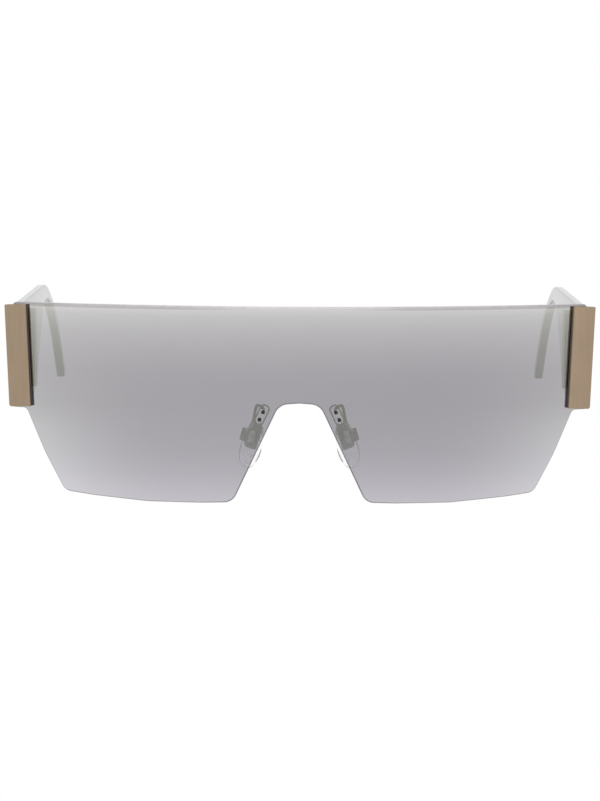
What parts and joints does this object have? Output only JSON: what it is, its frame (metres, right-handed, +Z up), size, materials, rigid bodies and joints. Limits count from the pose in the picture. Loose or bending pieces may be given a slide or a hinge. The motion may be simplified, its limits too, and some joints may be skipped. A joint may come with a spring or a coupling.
{
  "type": "rimless shield sunglasses",
  "caption": "Rimless sunglasses with a one-piece mirrored shield lens, bronze end plaques, folding smoke temples and rocking nose pads.",
  "frame": {"origin": "centre of the overall box's base with the temples open, under the lens's lower edge", "axes": "-Y the way the lens faces, +Y along the open temples, +Z up the lens"},
  "size_m": [0.15, 0.1566, 0.0496],
  "materials": {
    "mirror_lens": "silver mirror coating on smoke grey, gloss",
    "satin_bronze": "fine satin",
    "dark_tray": "dark brown, satin",
    "smoke_plastic": "translucent smoke grey, polished",
    "grey_metal": "satin",
    "screw_steel": "satin",
    "black_pin": "black, satin",
    "clear_silicone": "clear, soft gloss"
  },
  "bodies": {
    "front": {"lens_shield": "mirror_lens", "left_plaque": "satin_bronze", "left_plaque_tray": "dark_tray", "left_plaque_screw_upper": "screw_steel", "left_plaque_screw_lower": "screw_steel", "left_end_piece": "grey_metal", "left_hinge_screw": "screw_steel", "left_pad_bracket": "grey_metal", "left_bracket_pin_upper": "black_pin", "left_bracket_pin_lower": "black_pin", "left_pad_screw": "screw_steel", "right_plaque": "satin_bronze", "right_plaque_tray": "dark_tray", "right_plaque_screw_upper": "screw_steel", "right_plaque_screw_lower": "screw_steel", "right_end_piece": "grey_metal", "right_hinge_screw": "screw_steel", "right_pad_bracket": "grey_metal", "right_bracket_pin_upper": "black_pin", "right_bracket_pin_lower": "black_pin", "right_pad_screw": "screw_steel"},
    "left_temple_arm": {"left_temple": "smoke_plastic", "left_temple_core": "grey_metal", "left_hinge_leaf": "grey_metal", "left_leaf_rivet_front": "screw_steel", "left_leaf_rivet_rear": "screw_steel"},
    "left_pad": {"left_nose_pad": "clear_silicone", "left_pad_core": "grey_metal"},
    "right_temple_arm": {"right_temple": "smoke_plastic", "right_temple_core": "grey_metal", "right_hinge_leaf": "grey_metal", "right_leaf_rivet_front": "screw_steel", "right_leaf_rivet_rear": "screw_steel"},
    "right_pad": {"right_nose_pad": "clear_silicone", "right_pad_core": "grey_metal"}
  },
  "joints": [
    {"name": "left_temple_fold", "type": "hinge", "parent": "front", "child": "left_temple_arm", "pos_m": [-0.06927, -0.05926, 0.03888], "axis": [0.0253, 0, -0.9997], "range_deg": [0, 91.4]},
    {"name": "right_temple_fold", "type": "hinge", "parent": "front", "child": "right_temple_arm", "pos_m": [0.06927, -0.05926, 0.03888], "axis": [0.0253, 0, 0.9997], "range_deg": [0, 88.6]},
    {"name": "left_pad_rock", "type": "hinge", "parent": "front", "child": "left_pad", "pos_m": [-0.01276, -0.06986, 0.01638], "axis": [0.7686, -0.6005, -0.2204], "range_deg": [-8, 8]},
    {"name": "right_pad_rock", "type": "hinge", "parent": "front", "child": "right_pad", "pos_m": [0.01276, -0.06986, 0.01638], "axis": [-0.7686, -0.6005, -0.2204], "range_deg": [-8, 8]}
  ]
}
